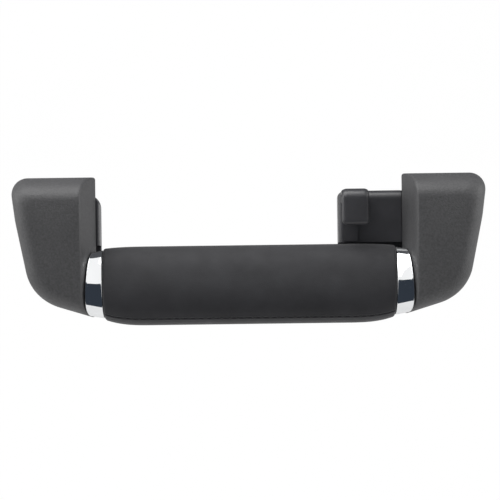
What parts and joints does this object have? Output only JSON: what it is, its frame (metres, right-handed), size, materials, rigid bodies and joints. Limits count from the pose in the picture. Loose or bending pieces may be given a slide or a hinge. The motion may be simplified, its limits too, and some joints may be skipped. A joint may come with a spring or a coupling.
{
  "type": "roof grab handle",
  "caption": "Folding car roof grab handle with a leather-covered grip, chrome collars, grained end housings and a coat hook on one bracket.",
  "frame": {"origin": "midway between the two roof fixing holes, on the plane of the roof", "axes": "+X along the handle towards the end with the coat hook, +Y into the roof along the fixing bolts, +Z from the grip towards the hinge, which is up as the stowed handle is seen from the cabin"},
  "size_m": [0.2578, 0.0419, 0.0811],
  "materials": {
    "grained_plastic": "fine moulded grain",
    "smooth_plastic": "satin",
    "leather": "smooth, with one seam",
    "chrome": "polished",
    "nylon": "glass-filled, as moulded",
    "steel": "zinc plated",
    "spring_steel": "drawn wire",
    "rubber": "matt"
  },
  "bodies": {
    "brackets": {"left_bracket": "smooth_plastic", "right_bracket": "smooth_plastic", "coat_hook": "smooth_plastic", "hook_screw": "steel", "left_hinge_pin": "steel", "right_hinge_pin": "steel", "pin_clips": "steel", "return_spring": "spring_steel", "damper_rotor": "steel", "left_screw_cover": "smooth_plastic", "right_screw_cover": "smooth_plastic", "left_bumper": "rubber", "right_bumper": "rubber"},
    "handle": {"damper_body": "nylon", "left_arm": "nylon", "right_arm": "nylon", "left_housing": "grained_plastic", "right_housing": "grained_plastic", "left_collar": "chrome", "right_collar": "chrome", "grip_core": "nylon", "grip_leather": "leather", "arm_screws": "steel", "housing_screws": "steel"}
  },
  "joints": [
    {"name": "handle_fold", "type": "hinge", "parent": "brackets", "child": "handle", "pos_m": [0, -0.015, 0.035], "axis": [-1, 0, 0], "range_deg": [0, 75], "stiffness_Nm_per_rad": 0.12, "springref_deg": -28.65, "deforming": ["return_spring"]}
  ]
}
